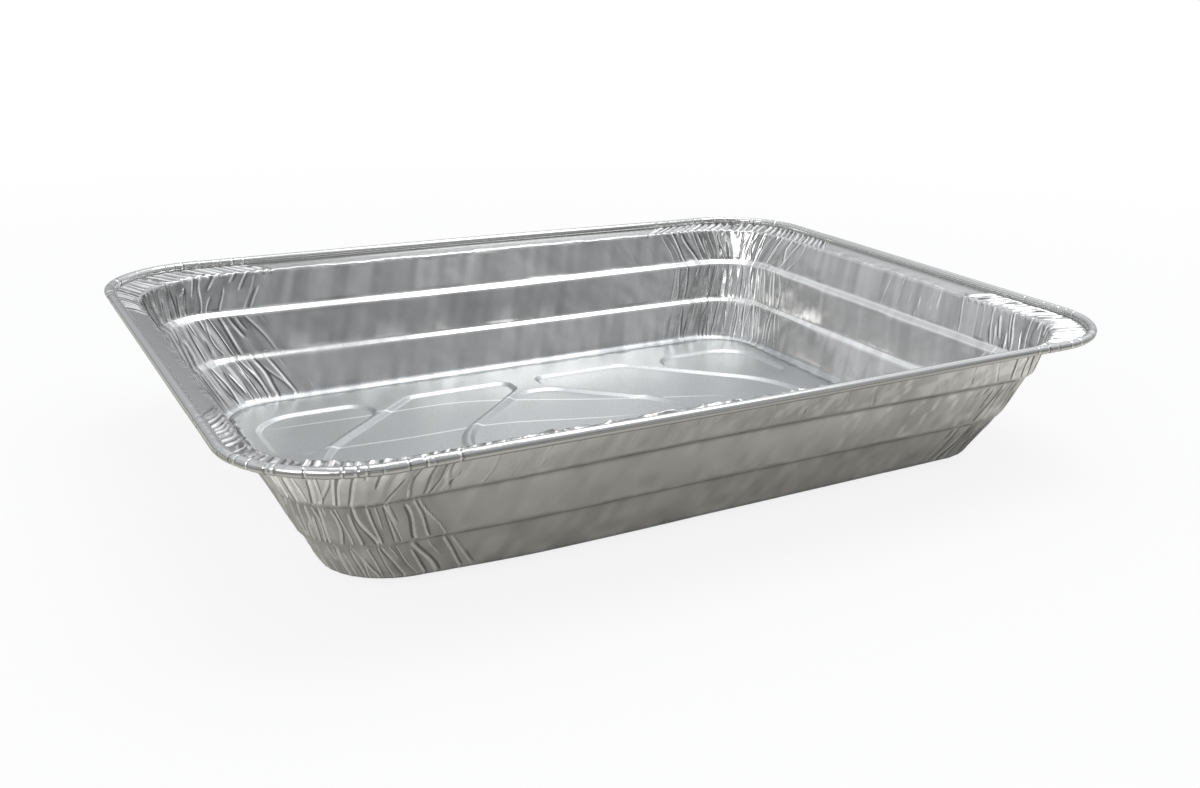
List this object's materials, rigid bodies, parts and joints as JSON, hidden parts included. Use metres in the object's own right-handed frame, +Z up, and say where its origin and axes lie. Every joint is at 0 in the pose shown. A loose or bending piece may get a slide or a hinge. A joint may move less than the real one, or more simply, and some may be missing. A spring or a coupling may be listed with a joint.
{
  "type": "foil tray",
  "caption": "Shallow rectangular drawn foil tray with a curled rim, gathered rounded corners, ledged sloping walls and a floor embossed with sunk panels.",
  "frame": {"origin": "middle of the plane the tray stands on, under the floor's sunk panels", "axes": "+X along the long side, +Y along the short side, +Z up out of the open top"},
  "size_m": [0.324, 0.264, 0.0556],
  "materials": {
    "foil": "bright rolled foil, creased and lightly brushed"
  },
  "bodies": {
    "root": {"foil_tray": "foil"}
  },
  "joints": []
}
